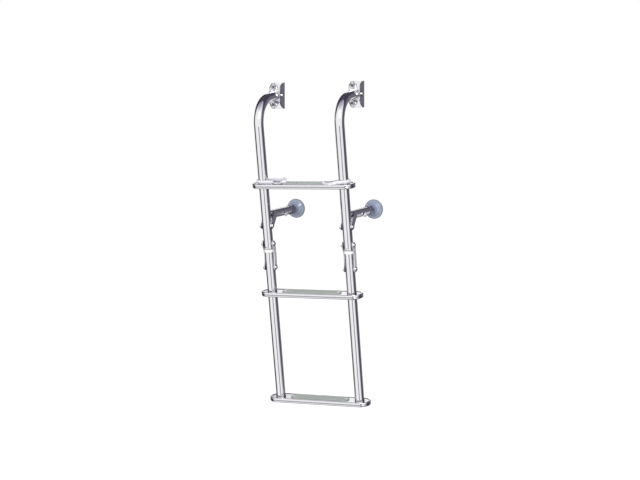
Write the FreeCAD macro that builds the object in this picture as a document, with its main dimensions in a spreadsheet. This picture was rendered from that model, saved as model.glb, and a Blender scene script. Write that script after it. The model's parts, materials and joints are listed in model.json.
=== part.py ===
import FreeCAD, Part
import math
import os
import re
import Sketcher
from FreeCAD import Vector

# Folding swim ladder, in millimetres.
# The origin is the middle of the left bracket's flat back face. X runs across to the right bracket, Y runs
# back into the hull and Z is up. The rails lean by the rake, so most pieces are placed on the rails: back is
# the distance behind a rail's axis and up is the distance above the upper hinge pin, along the rail.

SIZES = [
    ("tube_dia", 25.4, "rail tube, outside"),
    ("tube_wall", 1.5, "rail tube, wall"),
    ("rail_spacing", 230, "between the rails' axes"),
    ("rake", 10.4, "lean of the rails, in degrees"),
    ("bend_radius", 63.5, "bend at the top of each rail, at the tube's axis"),
    ("pivot_up", 376.5, "upper hinge pin to bracket bolt, along the rail"),
    ("pivot_back", 120, "rail axis to bracket bolt, square to the rail"),
    ("nose_radius", 13.2, "rounded tube end about the bracket bolt"),
    ("ear_radius", 35, "half-moon ears of a bracket"),
    ("ear_gap", 28, "between the two ears"),
    ("bracket_wall", 2.5, "ears and web of a bracket"),
    ("pivot_setback", 18, "bracket bolt in front of the bracket's back face"),
    ("screw_rise", 23, "screw holes above and below the bracket bolt"),
    ("screw_spread", 18, "between the two screw holes in a row"),
    ("screw_hole", 5.2, "screw hole diameter"),
    ("screw_sink", 9, "countersink diameter"),
    ("bracket_bend", 3, "outside radius of the bends between ears and web"),
    ("bolt_dia", 6, "hinge and stand-off bolts"),
    ("pivot_bolt_dia", 8, "bracket bolts"),
    ("bolt_fit", 0.05, "clearance of a bolt in its hole, on the radius"),
    ("head_dia", 12, "bolt head"),
    ("head_height", 4, "bolt head"),
    ("head_round", 3, "rounding of a bolt head"),
    ("nut_width", 10, "nut, across its flats"),
    ("nut_height", 4, "nut"),
    ("end_dia", 5, "bolt's end, past the nut"),
    ("end_height", 1.2, "bolt's end, past the nut"),
    ("end_round", 0.8, "rounding of a bolt's end"),
    ("trim_spare", 4, "tube past a rounded end, which the rounding cuts away"),
    ("joint_radius", 14.6, "rounded lower end of an upper rail about the hinge pin"),
    ("joint_gap", 0.4, "between the upper rail's end and the spacer under it"),
    ("link_length", 64, "between the two hinge pins"),
    ("link_plate", 2.5, "link thickness"),
    ("side_gap", 0.5, "between a rail's side and the plates beside it"),
    ("link_end", 8.5, "radius of a link's ends"),
    ("waist_front", 2, "link's narrow middle, in front of the pins"),
    ("waist_back", 11, "link's narrow middle, behind the pins"),
    ("spacer_height", 7, "pale spacer between the two tubes"),
    ("spigot_length", 12, "spacer's spigot in the lower rail"),
    ("plug_length", 20, "plug in the upper rail, above the hinge pin"),
    ("spigot_fit", 0.1, "clearance of a plug in its tube, on the radius"),
    ("tread_length", 290, "tread, end to end"),
    ("tread_depth", 52, "tread, front to back"),
    ("tread_height", 12, "tread's rim"),
    ("rim_width", 6, "tread's rim, seen from above"),
    ("rim_wall", 3.2, "tread's rim, seen from below"),
    ("rim_round", 2.4, "rounding of the rim's upper and lower bead"),
    ("rim_groove", 1.5, "radius of the groove between the two beads"),
    ("groove_drop", 6.4, "groove below the top of the rim"),
    ("deck_round", 0.9, "rounding of the rim beside the deck"),
    ("deck_drop", 1.2, "deck below the top of the rim"),
    ("deck_sheet", 1.5, "deck thickness"),
    ("rail_fit", 0.05, "clearance of a rail in a tread, on the radius"),
    ("top_tread_up", 163, "top tread above the upper hinge pin"),
    ("tread_pitch", 291.2, "tread to tread along the rails"),
    ("insert_length", 168, "grip insert, end to end"),
    ("insert_width", 28, "grip insert, front to back"),
    ("insert_height", 2.8, "grip insert above the deck"),
    ("insert_round", 0.8, "rounding of the grip insert"),
    ("rib_pitch", 5.4, "rib to rib on a grip insert"),
    ("rib_gap", 2, "groove between two ribs"),
    ("rib_depth", 1.1, "groove between two ribs"),
    ("rib_end", 16, "grooves stop this far from the insert's ends"),
    ("screw_inset", 7, "screw of a grip insert from the insert's end"),
    ("insert_seat", 8, "seat of a screw head"),
    ("seat_depth", 1.2, "seat of a screw head"),
    ("insert_hole", 4.4, "screw hole in a grip insert"),
    ("end_plug_length", 15, "plug in a lower rail's open end"),
    ("end_plug_depth", 0.6, "plug's face inside the rail's end"),
    ("standoff_up", 48, "stand-off bolt above the upper hinge pin"),
    ("arm_rise", 27, "arm's axis above the stand-off bolt, at the rail"),
    ("arm_tilt", 6, "arm's fall from square to the rail, in degrees"),
    ("arm_dia", 22, "stand-off arm"),
    ("arm_wall", 1.5, "stand-off arm"),
    ("arm_length", 163, "stand-off arm"),
    ("arm_gap", 0.4, "between a rail's back and the arm's end"),
    ("eye_radius", 8.5, "stand-off ear about its bolt"),
    ("cheek_radius", 10, "stand-off ear beside the arm"),
    ("cheek_along", 11, "middle of the ear's cheek from the arm's end"),
    ("boss_radius", 7, "boss between ear and arm"),
    ("cross_radius", 4, "bar through the arm"),
    ("pad_dia", 52, "rubber pad"),
    ("pad_edge", 6, "rubber pad's rim thickness"),
    ("pad_round", 2.2, "rounding of the pad's rim"),
    ("pad_lip", 5.5, "flat lip between the pad's rim and its cone"),
    ("pad_step", 1, "cone's foot above the lip"),
    ("pad_depth", 13, "rubber pad at its hub"),
    ("hub_round", 4, "rounding between the pad's cone and its hub"),
    ("mouth_round", 0.8, "rounding of the hub's mouth"),
    ("pad_floor", 12, "rubber between the arm's end and the pad's face"),
    ("hub_dia", 25, "pad's hub round the arm"),
    ("hub_length", 38, "pad's hub"),
    ("thumb_along", 80, "thumbscrew from the arm's end at the rail"),
    ("thumb_turn", 68, "thumbscrew's turn about the arm, from straight down, in degrees"),
    ("thumb_dia", 5, "thumbscrew's shank"),
    ("thumb_neck", 1, "between the arm and the thumbscrew's head"),
    ("thumb_head", 12, "thumbscrew's head"),
    ("thumb_height", 6, "thumbscrew's head"),
    ("thumb_round", 1.6, "rounding of the thumbscrew's head"),
    ("pad_fit", 0.05, "clearance of the pad's socket on the arm, on the radius"),
    ("strap_width", 9, "strap"),
    ("strap_sheet", 1.6, "strap thickness"),
    ("strap_loop", 16, "inside radius of the strap's bight round the rail"),
    ("strap_tip", 4, "inside radius of the strap's fold at its far end"),
    ("strap_reach", 66, "strap's far end from the rail's axis"),
    ("strap_lift", 0.3, "strap above the grip insert"),
]

doc = FreeCAD.newDocument("FoldingSwimLadder")
sheet = doc.addObject("Spreadsheet::Sheet", "Sizes")
for row, (alias, size, note) in enumerate(SIZES, 1):
    sheet.set(f"A{row}", note)
    sheet.set(f"B{row}", str(size))
    sheet.setAlias(f"B{row}", alias)
doc.recompute()

ALIASES = {alias for alias, size, note in SIZES}
SUBPARTS = []

# The upper hinge pin of the left rail, from the origin
HINGE_Y = "pivot_up * sin(rake) - pivot_back * cos(rake) - pivot_setback"
HINGE_Z = "-pivot_up * cos(rake) - pivot_back * sin(rake)"
TUBE_RADIUS = "tube_dia / 2"
BORE_RADIUS = "tube_dia / 2 - tube_wall"
BOLT_HOLE = "bolt_dia / 2 + bolt_fit"
LOWER_TOP = "-(joint_radius + joint_gap + spacer_height)"
BOTTOM_TREAD_UP = "top_tread_up - 2 * tread_pitch"
MIDDLE_TREAD_UP = "top_tread_up - tread_pitch"
RAIL_END_UP = "top_tread_up - 2 * tread_pitch - tread_height"
SIDES = {"left": "0", "right": "rail_spacing"}
CLOSE = 0.01
COUNTERSINK = 45
GROOVES = 4


def linked(text):
    """The expression with each size's name pointing at its cell."""
    return re.sub(r"[a-z_]+", lambda word: "Sizes." * (word.group() in ALIASES) + word.group(), text)


def size_of(alias):
    return float(sheet.get(alias))


def bind(thing, name, text):
    thing.setExpression(name, linked(text))


def add_body(label):
    body = doc.addObject("PartDesign::Body", label)
    body.Label = label
    SUBPARTS.append(body)
    return body


def place(thing, x="0", y="0", z="0", turn="0"):
    """Moves a piece and turns it about X."""
    spot = f"create(<<vector>>; {x}; {y}; {z})"
    spin = f"create(<<rotation>>; create(<<vector>>; 1; 0; 0); {turn})"
    bind(thing, "Placement", f"create(<<placement>>; {spot}; {spin})")


def place_on_rail(thing, x="0", back="0", up="0", turn="0"):
    """Places a piece that was drawn square to the rails."""
    y = f"{HINGE_Y} + ({back}) * cos(rake) - ({up}) * sin(rake)"
    z = f"{HINGE_Z} + ({back}) * sin(rake) + ({up}) * cos(rake)"
    place(thing, x, y, z, f"rake + {turn}")


def add_sketch(body, role, offset="0"):
    """A sketch on one of the body's own planes: XY_Plane, XZ_Plane or YZ_Plane."""
    sketch = body.newObject("Sketcher::SketchObject", body.Label + "_sketch")
    plane = next(item for item in body.Origin.OriginFeatures if item.Role == role)
    sketch.AttachmentSupport = [(plane, "")]
    sketch.MapMode = "FlatFace"
    bind(sketch, "AttachmentOffset.Base.z", offset)
    return sketch


def fix(sketch, kind, *where, value, start=10.0):
    """One dimension of a sketch, tied to the sheet. It starts at the size that was drawn."""
    number = sketch.addConstraint(Sketcher.Constraint(kind, *where, start))
    bind(sketch, f"Constraints[{number}]", f"({value}) * 1mm")


def fix_point(sketch, piece, end, across, up):
    drawn = sketch.getPoint(piece, end)
    fix(sketch, "DistanceX", -1, 1, piece, end, value=across, start=drawn.x)
    fix(sketch, "DistanceY", -1, 1, piece, end, value=up, start=drawn.y)


def draw_circle(sketch, radius, across="0", up="0"):
    circle = sketch.addGeometry(Part.Circle(Vector(0, 0, 0), Vector(0, 0, 1), 10))
    fix(sketch, "Radius", circle, value=radius)
    fix_point(sketch, circle, 3, across, up)


def draw_polygon(sketch, corners):
    """A closed outline with straight sides. Each corner is a pair of expressions."""
    count = len(corners)
    spokes = [k * math.tau / count for k in range(count)]
    ring = [Vector(20 * math.cos(spoke), 20 * math.sin(spoke), 0) for spoke in spokes]
    sides = [sketch.addGeometry(Part.LineSegment(ring[k], ring[(k + 1) % count])) for k in range(count)]
    for k, side in enumerate(sides):
        sketch.addConstraint(Sketcher.Constraint("Coincident", side, 2, sides[(k + 1) % count], 1))
        fix_point(sketch, side, 1, *corners[k])


def draw_slot(sketch, length, width, up="0"):
    """A racetrack outline, its straight sides along X and its middle above the origin."""
    reach, radius, quarter = 40.0, 10.0, math.pi / 2
    normal, out = Vector(0, 0, 1), Vector(reach, 0, 0)
    right = sketch.addGeometry(Part.ArcOfCircle(Part.Circle(out, normal, radius), -quarter, quarter))
    left = sketch.addGeometry(Part.ArcOfCircle(Part.Circle(-out, normal, radius), quarter, 3 * quarter))
    top = sketch.addGeometry(Part.LineSegment(Vector(reach, radius, 0), Vector(-reach, radius, 0)))
    bottom = sketch.addGeometry(Part.LineSegment(Vector(-reach, -radius, 0), Vector(reach, -radius, 0)))
    for join in ((right, 2, top, 1), (left, 1, top, 2), (left, 2, bottom, 1), (right, 1, bottom, 2)):
        sketch.addConstraint(Sketcher.Constraint("Tangent", *join))
    sketch.addConstraint(Sketcher.Constraint("Equal", right, left))
    fix(sketch, "Radius", right, value=f"({width}) / 2")
    fix_point(sketch, right, 3, f"(({length}) - ({width})) / 2", up)
    fix_point(sketch, left, 3, f"-(({length}) - ({width})) / 2", up)


def draw_round_trim(sketch, radius, across, up, outward, reach):
    """The region beyond a half circle, on its outward side: 'down', 'up' or 'right'."""
    aim = {"down": -math.pi / 2, "up": math.pi / 2, "right": 0.0}[outward]
    heading = Vector(math.cos(aim), math.sin(aim), 0)
    side = Vector(-heading.y, heading.x, 0)
    across_unit, up_unit = round(heading.x), round(heading.y)
    circle = Part.Circle(Vector(0, 0, 0), Vector(0, 0, 1), 10)
    arc = sketch.addGeometry(Part.ArcOfCircle(circle, aim - math.pi / 2, aim + math.pi / 2))
    far = 30
    turns = [side * -10, side * -10 + heading * far, side * 10 + heading * far, side * 10]
    lines = [sketch.addGeometry(Part.LineSegment(turns[k], turns[k + 1])) for k in range(3)]
    for first, second in zip(lines, lines[1:]):
        sketch.addConstraint(Sketcher.Constraint("Coincident", first, 2, second, 1))
    sketch.addConstraint(Sketcher.Constraint("Coincident", arc, 1, lines[0], 1))
    sketch.addConstraint(Sketcher.Constraint("Coincident", arc, 2, lines[2], 2))
    fix(sketch, "Radius", arc, value=radius)
    fix_point(sketch, arc, 3, across, up)
    along = "Horizontal" if across_unit else "Vertical"
    cross = "Vertical" if across_unit else "Horizontal"
    sketch.addConstraint(Sketcher.Constraint(along, lines[0]))
    sketch.addConstraint(Sketcher.Constraint(cross, lines[1]))
    sketch.addConstraint(Sketcher.Constraint(along, lines[2]))
    # both ends of the arc lie level with its middle
    sketch.addConstraint(Sketcher.Constraint("Vertical" if across_unit else "Horizontal", arc, 1, arc, 3))
    sketch.addConstraint(Sketcher.Constraint("Vertical" if across_unit else "Horizontal", arc, 2, arc, 3))
    far_kind = "DistanceX" if across_unit else "DistanceY"
    sign = -1 if (across_unit or up_unit) < 0 else 1
    fix(sketch, far_kind, arc, 3, lines[1], 1, value=f"{sign} * ({reach})", start=sign * far)


def pad(body, sketch, length, middle=False, flip=False):
    feature = body.newObject("PartDesign::Pad", body.Label + "_pad")
    feature.Profile = sketch
    feature.SideType = "Symmetric" if middle else "One side"
    feature.Reversed = flip
    bind(feature, "Length", length)
    return feature


def pocket(body, sketch, length, middle=False, flip=False):
    feature = body.newObject("PartDesign::Pocket", body.Label + "_pocket")
    feature.Profile = sketch
    feature.SideType = "Symmetric" if middle else "One side"
    feature.Reversed = flip
    bind(feature, "Length", length)
    return feature


def cross_hole(body, radius, across, up, length="4 * tube_dia"):
    """A hole through a piece along X."""
    sketch = add_sketch(body, "YZ_Plane")
    draw_circle(sketch, radius, across, up)
    return pocket(body, sketch, length, middle=True)


def round_edges(body, radius, chosen):
    """Rounds each edge of the body, as it stands, that the given test picks."""
    doc.recompute()
    solid = body.Tip
    names = [f"Edge{number}" for number, edge in enumerate(solid.Shape.Edges, 1) if chosen(edge)]
    feature = body.newObject("PartDesign::Fillet", body.Label + "_rounding")
    feature.Base = (solid, names)
    bind(feature, "Radius", radius)


def is_back_corner(edge):
    """Whether an edge is straight and upright and lies in the bracket's back plane."""
    straight = isinstance(edge.Curve, Part.Line)
    return straight and abs(edge.Curve.Direction.z) > 1 - CLOSE and abs(edge.BoundBox.YMax) < CLOSE


def is_level(edge, height):
    return edge.BoundBox.ZLength < CLOSE and abs(edge.BoundBox.ZMin - height) < CLOSE


def is_ring(edge, radius):
    return isinstance(edge.Curve, Part.Circle) and abs(edge.Curve.Radius - radius) < CLOSE


def reaches_back(edge, distance):
    """Whether both ends of an edge lie at this distance from the middle, front or back."""
    return all(abs(abs(end.Y) - distance) < CLOSE for end in edge.Vertexes)


# Brackets: a bent web with four countersunk screw holes and two half-moon ears
def add_bracket(side):
    body = add_body(f"{side}_bracket")
    outline = add_sketch(body, "YZ_Plane")
    circle = Part.Circle(Vector(0, 0, 0), Vector(0, 0, 1), 35)
    arc = outline.addGeometry(Part.ArcOfCircle(circle, math.pi / 2, 3 * math.pi / 2))
    back = outline.addGeometry(Part.LineSegment(Vector(0, -35, 0), Vector(0, 35, 0)))
    outline.addConstraint(Sketcher.Constraint("Coincident", arc, 2, back, 1))
    outline.addConstraint(Sketcher.Constraint("Coincident", arc, 1, back, 2))
    outline.addConstraint(Sketcher.Constraint("Coincident", arc, 3, -1, 1))
    outline.addConstraint(Sketcher.Constraint("PointOnObject", back, 1, -2))
    outline.addConstraint(Sketcher.Constraint("PointOnObject", back, 2, -2))
    fix(outline, "Radius", arc, value="ear_radius", start=35.0)
    pad(body, outline, "ear_gap + 2 * bracket_wall", middle=True)
    channel = add_sketch(body, "YZ_Plane")
    front, top = "-2 * ear_radius", "2 * ear_radius"
    corners = [("-bracket_wall", f"-{top}"), ("-bracket_wall", top), (front, top), (front, f"-{top}")]
    draw_polygon(channel, corners)
    pocket(body, channel, "ear_gap", middle=True)
    cross_hole(body, "pivot_bolt_dia / 2 + bolt_fit", "-pivot_setback", "0")
    for across in ("-screw_spread / 2", "screw_spread / 2"):
        for up in ("-screw_rise", "screw_rise"):
            hole = add_sketch(body, "XZ_Plane")
            draw_circle(hole, "screw_hole / 2", across, up)
            pocket(body, hole, "2 * bracket_wall", flip=True)
            sink = add_sketch(body, "XZ_Plane", "bracket_wall")
            draw_circle(sink, "screw_sink / 2", across, up)
            cone = pocket(body, sink, "(screw_sink - screw_hole) / 2")
            cone.TaperAngle = -COUNTERSINK
    round_edges(body, "bracket_bend", is_back_corner)
    place(body, SIDES[side])


# Bolts: a rounded head on the side of +X, a hexagon nut on the other and the bolt's end past the nut
def add_bolt(label, shank, grip):
    body = add_body(label)
    half = f"({grip}) / 2"
    middle = add_sketch(body, "YZ_Plane")
    draw_circle(middle, f"({shank}) / 2")
    pad(body, middle, grip, middle=True)
    head = add_sketch(body, "YZ_Plane", half)
    draw_circle(head, "head_dia / 2")
    pad(body, head, "head_height")
    round_edges(body, "head_round", lambda edge: edge.BoundBox.XMin > body.Shape.BoundBox.XMax - CLOSE)
    nut = add_sketch(body, "YZ_Plane", f"-({half})")
    draw_polygon(nut, [(hexagon_point("cos", k), hexagon_point("sin", k)) for k in range(6)])
    pad(body, nut, "nut_height", flip=True)
    end = add_sketch(body, "YZ_Plane", f"-({half} + nut_height)")
    draw_circle(end, "end_dia / 2")
    pad(body, end, "end_height", flip=True)
    round_edges(body, "end_round", lambda edge: edge.BoundBox.XMax < body.Shape.BoundBox.XMin + CLOSE)
    return body


def hexagon_point(ratio, number):
    return f"nut_width / sqrt(3) * {ratio}({60 * number})"


# Upper rail: one bent tube, rounded at both ends so that it turns in its bracket and on its hinge
def add_upper_rail(side):
    body = add_body(f"{side}_upper_rail")
    path = add_sketch(body, "YZ_Plane")
    radius = size_of("bend_radius")
    bend_top, bend_back = size_of("pivot_up"), size_of("bend_radius")
    middle = Vector(bend_back, bend_top - radius, 0)
    straight = path.addGeometry(Part.LineSegment(Vector(0, -20, 0), Vector(0, bend_top - radius, 0)))
    circle = Part.Circle(middle, Vector(0, 0, 1), radius)
    bend = path.addGeometry(Part.ArcOfCircle(circle, math.pi / 2, math.pi))
    bend_end = Vector(bend_back, bend_top, 0)
    drawn_end = bend_end + Vector(60, 0, 0)
    end = path.addGeometry(Part.LineSegment(bend_end, drawn_end))
    path.addConstraint(Sketcher.Constraint("Coincident", straight, 2, bend, 2))
    path.addConstraint(Sketcher.Constraint("Coincident", bend, 1, end, 1))
    path.addConstraint(Sketcher.Constraint("Horizontal", end))
    fix_point(path, straight, 1, "0", "-joint_radius - trim_spare")
    fix_point(path, bend, 3, "bend_radius", "pivot_up - bend_radius")
    fix_point(path, straight, 2, "0", "pivot_up - bend_radius")
    fix(path, "DistanceX", -1, 1, end, 1, value="bend_radius", start=bend_back)
    path_end = "pivot_back + nose_radius + trim_spare"
    fix(path, "DistanceX", -1, 1, end, 2, value=path_end, start=drawn_end.x)
    ring = add_sketch(body, "XY_Plane", "-joint_radius - trim_spare")
    draw_circle(ring, TUBE_RADIUS)
    draw_circle(ring, BORE_RADIUS)
    tube = body.newObject("PartDesign::AdditivePipe", body.Label + "_tube")
    tube.Profile = ring
    tube.Spine = (path, ["Edge1", "Edge2", "Edge3"])
    lower_end = add_sketch(body, "YZ_Plane")
    draw_round_trim(lower_end, "joint_radius", "0", "0", "down", "2 * joint_radius")
    pocket(body, lower_end, "2 * tube_dia", middle=True)
    nose = add_sketch(body, "YZ_Plane")
    draw_round_trim(nose, "nose_radius", "pivot_back", "pivot_up", "right", "2 * nose_radius")
    pocket(body, nose, "2 * tube_dia", middle=True)
    cross_hole(body, BOLT_HOLE, "0", "0")
    cross_hole(body, BOLT_HOLE, "0", "standoff_up")
    cross_hole(body, "pivot_bolt_dia / 2 + bolt_fit", "pivot_back", "pivot_up")
    place_on_rail(body, SIDES[side])


# Plug that closes the upper rail's rounded end
def add_hinge_plug(side):
    body = add_body(f"{side}_hinge_plug")
    disc = add_sketch(body, "XY_Plane", "-joint_radius")
    draw_circle(disc, f"{BORE_RADIUS} - spigot_fit")
    pad(body, disc, "joint_radius + plug_length")
    lower_end = add_sketch(body, "YZ_Plane")
    draw_round_trim(lower_end, "joint_radius", "0", "0", "down", "2 * joint_radius")
    pocket(body, lower_end, "2 * tube_dia", middle=True)
    cross_hole(body, BOLT_HOLE, "0", "0")
    place_on_rail(body, SIDES[side])


# Spacer on top of the lower rail, crowned about the lower hinge pin
def add_spacer(side):
    body = add_body(f"{side}_hinge_spacer")
    collar = add_sketch(body, "XY_Plane", LOWER_TOP)
    draw_circle(collar, TUBE_RADIUS)
    pad(body, collar, "spacer_height")
    crown = add_sketch(body, "YZ_Plane")
    crown_radius = "link_length - joint_radius - joint_gap"
    draw_round_trim(crown, crown_radius, "0", "-link_length", "up", "link_length")
    pocket(body, crown, "2 * tube_dia", middle=True)
    spigot = add_sketch(body, "XY_Plane", LOWER_TOP)
    draw_circle(spigot, f"{BORE_RADIUS} - spigot_fit")
    pad(body, spigot, "spigot_length", flip=True)
    place_on_rail(body, SIDES[side])


def add_lower_rail(side):
    body = add_body(f"{side}_lower_rail")
    ring = add_sketch(body, "XY_Plane", LOWER_TOP)
    draw_circle(ring, TUBE_RADIUS)
    draw_circle(ring, BORE_RADIUS)
    pad(body, ring, f"{LOWER_TOP} - ({RAIL_END_UP})", flip=True)
    cross_hole(body, BOLT_HOLE, "0", "-link_length")
    place_on_rail(body, SIDES[side])


# Plug in the lower rail's open end
def add_end_plug(side):
    body = add_body(f"{side}_rail_end_plug")
    disc = add_sketch(body, "XY_Plane", f"{RAIL_END_UP} + end_plug_depth")
    draw_circle(disc, f"{BORE_RADIUS} - spigot_fit")
    pad(body, disc, "end_plug_length")
    place_on_rail(body, SIDES[side])


# Links: flat plates that hold both hinge pins, with their narrow middle set back
def side_radius(reach):
    """Radius of the arc that touches both eyes of a link and passes this far from the line of its pins."""
    return f"abs((({reach})^2 + (link_length / 2)^2 - link_end^2) / (2 * (({reach}) - link_end)))"


def draw_link(sketch):
    """Two eyes joined by a hollow front and a full back, each arc tangent to the next."""
    half, eye = size_of("link_length") / 2, size_of("link_end")
    front, back = size_of("waist_front"), size_of("waist_back")
    hollow, full = (abs((reach**2 + half**2 - eye**2) / 2 / (reach - eye)) for reach in (front, back))
    normal, turn = Vector(0, 0, 1), math.pi
    front_lean, back_lean = math.atan2(half, front + hollow), math.atan2(half, full - back)

    def add_arc(across, up, radius, first, last):
        circle = Part.Circle(Vector(across, up, 0), normal, radius)
        return sketch.addGeometry(Part.ArcOfCircle(circle, first, last))

    upper = add_arc(0, 0, eye, back_lean, turn + front_lean)
    front_side = add_arc(-front - hollow, -half, hollow, -front_lean, front_lean)
    lower = add_arc(0, -2 * half, eye, turn - front_lean, 2 * turn - back_lean)
    back_side = add_arc(back - full, -half, full, -back_lean, back_lean)
    front_joins = ((upper, 2, front_side, 2), (front_side, 1, lower, 1))
    back_joins = ((lower, 2, back_side, 1), (back_side, 2, upper, 1))
    for join in front_joins + back_joins:
        sketch.addConstraint(Sketcher.Constraint("Tangent", *join))
    fix(sketch, "Radius", upper, value="link_end", start=eye)
    fix(sketch, "Radius", lower, value="link_end", start=eye)
    fix(sketch, "Radius", front_side, value=side_radius("waist_front"), start=hollow)
    fix(sketch, "Radius", back_side, value=side_radius("waist_back"), start=full)
    fix_point(sketch, upper, 3, "0", "0")
    fix_point(sketch, lower, 3, "0", "-link_length")


def add_link(side, hand):
    body = add_body(f"{side}_{hand}_link")
    near = f"{TUBE_RADIUS} + side_gap"
    outline = add_sketch(body, "YZ_Plane", near if hand == "outer" else f"-({near} + link_plate)")
    draw_link(outline)
    pad(body, outline, "link_plate")
    for pin in ("0", "-link_length"):
        cross_hole(body, BOLT_HOLE, "0", pin)
    place_on_rail(body, SIDES[side])


# Treads: a pressed pan with a double-rolled rim, a recessed deck and a hole for each rail
def add_tread(label, up):
    body = add_body(label)
    outline = add_sketch(body, "XY_Plane")
    draw_slot(outline, "tread_length", "tread_depth")
    pad(body, outline, "tread_height", flip=True)
    rim = size_of("tread_depth") / 2
    round_edges(body, "rim_round", lambda edge: reaches_back(edge, rim) and edge.BoundBox.ZLength < CLOSE)
    groove_path = add_sketch(body, "XY_Plane", "-groove_drop")
    draw_slot(groove_path, "tread_length", "tread_depth")
    groove_section = add_sketch(body, "YZ_Plane", "(tread_length - tread_depth) / 2")
    draw_circle(groove_section, "rim_groove", "-tread_depth / 2", "-groove_drop")
    groove = body.newObject("PartDesign::SubtractivePipe", label + "_groove")
    groove.Profile = groove_section
    groove.Spine = (groove_path, ["Edge1", "Edge3", "Edge2", "Edge4"])
    top = add_sketch(body, "XY_Plane")
    draw_slot(top, "tread_length - 2 * rim_width", "tread_depth - 2 * rim_width")
    pocket(body, top, "deck_drop")
    deck = rim - size_of("rim_width")
    round_edges(body, "deck_round", lambda edge: reaches_back(edge, deck) and is_level(edge, 0))
    under = add_sketch(body, "XY_Plane", "-tread_height")
    draw_slot(under, "tread_length - 2 * rim_wall", "tread_depth - 2 * rim_wall")
    pocket(body, under, "tread_height - deck_drop - deck_sheet", flip=True)
    for across in ("-rail_spacing / 2", "rail_spacing / 2"):
        hole = add_sketch(body, "XY_Plane")
        draw_circle(hole, f"{TUBE_RADIUS} + rail_fit", across)
        pocket(body, hole, "2 * tread_height", middle=True)
    place_on_rail(body, "rail_spacing / 2", up=up)


# Grip inserts: ribbed along the tread, with a screw's seat and hole at each end
def add_insert(label, up):
    body = add_body(label)
    outline = add_sketch(body, "XY_Plane")
    draw_slot(outline, "insert_length", "insert_width")
    pad(body, outline, "insert_height")
    edge_line, height = size_of("insert_width") / 2, size_of("insert_height")
    round_edges(body, "insert_round", lambda edge: reaches_back(edge, edge_line) and is_level(edge, height))
    for number in range(GROOVES):
        groove = add_sketch(body, "XY_Plane", "insert_height")
        row = f"rib_pitch * {number - (GROOVES - 1) / 2}"
        draw_slot(groove, "insert_length - 2 * rib_end", "rib_gap", row)
        pocket(body, groove, "rib_depth")
    for across in ("screw_inset - insert_length / 2", "insert_length / 2 - screw_inset"):
        for diameter, depth in (("insert_seat", "seat_depth"), ("insert_hole", "2 * insert_height")):
            seat = add_sketch(body, "XY_Plane", "insert_height")
            draw_circle(seat, f"{diameter} / 2", across)
            pocket(body, seat, depth)
    place_on_rail(body, "rail_spacing / 2", up=f"{up} - deck_drop")


# Stand-offs: a fork on the rail, an arm and a rubber pad
ARM_START = f"{TUBE_RADIUS} + arm_gap"


def arm_spot(along, above="0"):
    """How far a point lies behind and above the arm's bolt, from its place along and above the axis."""
    back = f"{ARM_START} + ({along}) * cos(arm_tilt) + ({above}) * sin(arm_tilt)"
    up = f"arm_rise - ({along}) * sin(arm_tilt) + ({above}) * cos(arm_tilt)"
    return back, up


def add_arm_sketch(body, along):
    """A sketch square to the arm's axis."""
    sketch = add_sketch(body, "XZ_Plane")
    back, up = arm_spot(along)
    spin = "create(<<rotation>>; create(<<vector>>; 1; 0; 0); -arm_tilt)"
    spot = f"create(<<vector>>; 0; {up}; -({back}))"
    bind(sketch, "AttachmentOffset", f"create(<<placement>>; {spot}; {spin})")
    return sketch


def add_arm_profile(body):
    """A sketch that holds the arm's axis: its first direction runs along the arm from the rail."""
    sketch = add_sketch(body, "YZ_Plane")
    back, up = arm_spot("0")
    spin = "create(<<rotation>>; create(<<vector>>; 0; 0; 1); -arm_tilt)"
    bind(sketch, "AttachmentOffset", f"create(<<placement>>; create(<<vector>>; {back}; {up}; 0); {spin})")
    return sketch


def place_standoff(thing, side):
    place_on_rail(thing, SIDES[side], up="standoff_up")


def draw_teardrop(sketch, near_radius, far_radius, across, up, aim=45):
    """Two circles, one about the origin, joined by their outer tangents. It is first drawn at the aim."""
    normal, heading, quarter = Vector(0, 0, 1), math.radians(aim), math.pi / 2
    far = Vector(math.cos(heading), math.sin(heading), 0) * 30
    step = Vector(math.sin(heading), -math.cos(heading), 0) * 10
    near_circle, far_circle = Part.Circle(Vector(0, 0, 0), normal, 10), Part.Circle(far, normal, 10)
    lower = sketch.addGeometry(Part.ArcOfCircle(near_circle, heading + quarter, heading + 3 * quarter))
    upper = sketch.addGeometry(Part.ArcOfCircle(far_circle, heading - quarter, heading + quarter))
    right = sketch.addGeometry(Part.LineSegment(step, far + step))
    left = sketch.addGeometry(Part.LineSegment(far - step, -step))
    for join in ((lower, 2, right, 1), (upper, 1, right, 2), (upper, 2, left, 1), (lower, 1, left, 2)):
        sketch.addConstraint(Sketcher.Constraint("Tangent", *join))
    fix(sketch, "Radius", lower, value=near_radius)
    fix(sketch, "Radius", upper, value=far_radius)
    fix_point(sketch, lower, 3, "0", "0")
    fix_point(sketch, upper, 3, across, up)


def add_fork(side):
    """Two ears on the stand-off bolt, with a bar and bosses that hold the arm between them."""
    body = add_body(f"{side}_standoff_fork")
    near = f"({TUBE_RADIUS} + side_gap)"
    cheek = arm_spot("cheek_along")
    bar = add_sketch(body, "YZ_Plane")
    draw_circle(bar, "cross_radius", *cheek)
    pad(body, bar, f"2 * {near}", middle=True)
    for inner, outer in ((near, f"{near} + bracket_wall"), (f"-{near}", f"-({near} + bracket_wall)")):
        ear = add_sketch(body, "YZ_Plane", inner)
        draw_teardrop(ear, "eye_radius", "cheek_radius", *cheek)
        pad(body, ear, "bracket_wall", flip=inner.startswith("-"))
        boss = add_sketch(body, "YZ_Plane", inner)
        draw_circle(boss, "boss_radius", *cheek)
        pad(body, boss, f"{near} - arm_dia / 2 - side_gap / 2", flip=not inner.startswith("-"))
    cross_hole(body, BOLT_HOLE, "0", "0")
    place_standoff(body, side)


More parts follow.
